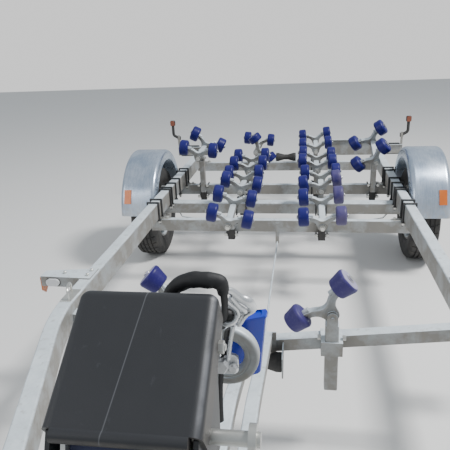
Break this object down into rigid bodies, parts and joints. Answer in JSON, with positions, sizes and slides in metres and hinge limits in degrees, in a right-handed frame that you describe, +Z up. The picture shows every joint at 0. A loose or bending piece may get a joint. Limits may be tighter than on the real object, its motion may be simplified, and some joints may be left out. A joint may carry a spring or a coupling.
{
  "type": "braked single-axle boat trailer",
  "caption": "Galvanised boat trailer with blue tandem roller cradles, winch post, fenders and a jockey wheel.",
  "frame": {"origin": "on the ground under the middle of the overall length, on the centre line", "axes": "+X to the right seen from the hitch, +Y from the hitch to the rear, +Z up"},
  "size_m": [2.207, 6.1, 1.322],
  "materials": {
    "galvanised": "hot-dip galvanised steel",
    "fender_metal": "smooth bright galvanised sheet",
    "black_steel": "black coated steel",
    "zinc_plate": "zinc plated",
    "roller_blue": "blue roller plastic",
    "bow_blue": "clear blue polyurethane",
    "black_rubber": "black rubber",
    "tyre_rubber": "black tyre rubber",
    "black_plastic": "grained black plastic",
    "webbing": "dark webbing",
    "amber_lens": "amber reflector",
    "clear_lens": "clear lens",
    "red_lens": "red lens"
  },
  "bodies": {
    "frame": {"main_beam_left": "galvanised", "main_beam_right": "galvanised", "crossbeams": "galvanised", "axle": "galvanised", "frame_u_bolts": "black_steel", "roller_posts": "galvanised", "fender_left": "fender_metal", "fender_right": "fender_metal", "lamp_brackets": "galvanised", "front_lamps": "clear_lens", "amber_reflectors": "amber_lens", "lamp_bars": "galvanised", "marker_arms": "black_rubber", "rear_lamps": "red_lens", "keel_rollers": "black_rubber", "post_caps": "black_rubber", "winch_stand": "galvanised", "winch_frame": "black_steel", "winch_cover": "black_plastic", "winch_strap": "webbing", "bow_block": "bow_blue", "overrun_housing": "black_steel", "overrun_bellows": "black_rubber", "coupling_head": "zinc_plate", "handbrake_lever": "black_steel", "brake_linkage": "black_steel", "jockey_outer": "galvanised"},
    "wheel_left": {"tyre_left": "tyre_rubber", "rim_left": "galvanised"},
    "wheel_right": {"tyre_right": "tyre_rubber", "rim_right": "galvanised"},
    "drum": {"winch_drum": "zinc_plate", "strap_roll": "webbing"},
    "jockey_leg": {"jockey_inner": "galvanised"},
    "jockey_yoke": {"jockey_fork": "galvanised"},
    "jockey_roller": {"jockey_wheel": "black_rubber"},
    "bow_left": {"fork_bow_left": "galvanised", "rollers_bow_left": "roller_blue"},
    "bow_right": {"fork_bow_right": "galvanised", "rollers_bow_right": "roller_blue"},
    "cradle_left_1_body": {"cradle_left_1": "galvanised", "rollers_left_1": "roller_blue"},
    "cradle_left_2_body": {"cradle_left_2": "galvanised", "rollers_left_2": "roller_blue"},
    "cradle_left_3_body": {"cradle_left_3": "galvanised", "rollers_left_3": "roller_blue"},
    "cradle_left_4_body": {"cradle_left_4": "galvanised", "rollers_left_4": "roller_blue"},
    "cradle_right_1_body": {"cradle_right_1": "galvanised", "rollers_right_1": "roller_blue"},
    "cradle_right_2_body": {"cradle_right_2": "galvanised", "rollers_right_2": "roller_blue"},
    "cradle_right_3_body": {"cradle_right_3": "galvanised", "rollers_right_3": "roller_blue"},
    "cradle_right_4_body": {"cradle_right_4": "galvanised", "rollers_right_4": "roller_blue"},
    "cradle_side_left_body": {"cradle_side_left": "galvanised", "rollers_side_left": "roller_blue"},
    "cradle_side_right_body": {"cradle_side_right": "galvanised", "rollers_side_right": "roller_blue"}
  },
  "joints": [
    {"name": "wheel_left_spin", "type": "hinge", "parent": "frame", "child": "wheel_left", "pos_m": [-0.957, 1.76, 0.325], "axis": [1, 0, 0], "continuous": true},
    {"name": "wheel_right_spin", "type": "hinge", "parent": "frame", "child": "wheel_right", "pos_m": [0.957, 1.76, 0.325], "axis": [1, 0, 0], "continuous": true},
    {"name": "jockey_height", "type": "slide", "parent": "frame", "child": "jockey_leg", "axis": [0, 0, 1], "range_m": [-0.04, 0.18]},
    {"name": "jockey_swivel", "type": "hinge", "parent": "jockey_leg", "child": "jockey_yoke", "pos_m": [0.235, -2.25, 0.212], "axis": [0, 0, 1], "continuous": true},
    {"name": "jockey_wheel_spin", "type": "hinge", "parent": "jockey_yoke", "child": "jockey_roller", "pos_m": [0.235, -2.205, 0.1], "axis": [1, 0, 0], "continuous": true},
    {"name": "winch_drum_turn", "type": "hinge", "parent": "frame", "child": "drum", "pos_m": [0, -1.49, 1.165], "axis": [1, 0, 0], "continuous": true},
    {"name": "bow_fork_left_roll", "type": "hinge", "parent": "frame", "child": "bow_left", "pos_m": [-0.359, -0.17, 0.563], "axis": [0, 1, 0], "range_deg": [-52, 13]},
    {"name": "bow_fork_right_roll", "type": "hinge", "parent": "frame", "child": "bow_right", "pos_m": [0.274, -0.17, 0.563], "axis": [0, 1, 0], "range_deg": [-13, 52]},
    {"name": "cradle_left_1_pitch", "type": "hinge", "parent": "frame", "child": "cradle_left_1_body", "pos_m": [-0.288, 1.183, 0.446], "axis": [1, 0, 0], "range_deg": [-17, 4]},
    {"name": "cradle_left_2_pitch", "type": "hinge", "parent": "frame", "child": "cradle_left_2_body", "pos_m": [-0.269, 1.66, 0.496], "axis": [1, 0, 0], "range_deg": [-10.4, 13.6]},
    {"name": "cradle_left_3_pitch", "type": "hinge", "parent": "frame", "child": "cradle_left_3_body", "pos_m": [-0.252, 2.097, 0.525], "axis": [1, 0, 0], "range_deg": [-11.4, 12.6]},
    {"name": "cradle_left_4_pitch", "type": "hinge", "parent": "frame", "child": "cradle_left_4_body", "pos_m": [-0.265, 2.853, 0.515], "axis": [1, 0, 0], "range_deg": [-12.2, 11.8]},
    {"name": "cradle_right_1_pitch", "type": "hinge", "parent": "frame", "child": "cradle_right_1_body", "pos_m": [0.275, 1.183, 0.446], "axis": [1, 0, 0], "range_deg": [-17, 4]},
    {"name": "cradle_right_2_pitch", "type": "hinge", "parent": "frame", "child": "cradle_right_2_body", "pos_m": [0.28, 1.66, 0.5], "axis": [1, 0, 0], "range_deg": [-10.4, 13.6]},
    {"name": "cradle_right_3_pitch", "type": "hinge", "parent": "frame", "child": "cradle_right_3_body", "pos_m": [0.256, 2.097, 0.535], "axis": [1, 0, 0], "range_deg": [-11.4, 12.6]},
    {"name": "cradle_right_4_pitch", "type": "hinge", "parent": "frame", "child": "cradle_right_4_body", "pos_m": [0.263, 2.853, 0.538], "axis": [1, 0, 0], "range_deg": [-17.9, 6.1]},
    {"name": "cradle_side_left_pitch", "type": "hinge", "parent": "frame", "child": "cradle_side_left_body", "pos_m": [-0.62, 2.017, 0.67], "axis": [1, 0, 0], "range_deg": [-30, 20]},
    {"name": "cradle_side_right_pitch", "type": "hinge", "parent": "frame", "child": "cradle_side_right_body", "pos_m": [0.673, 2.017, 0.666], "axis": [1, 0, 0], "range_deg": [-43, 7]}
  ]
}
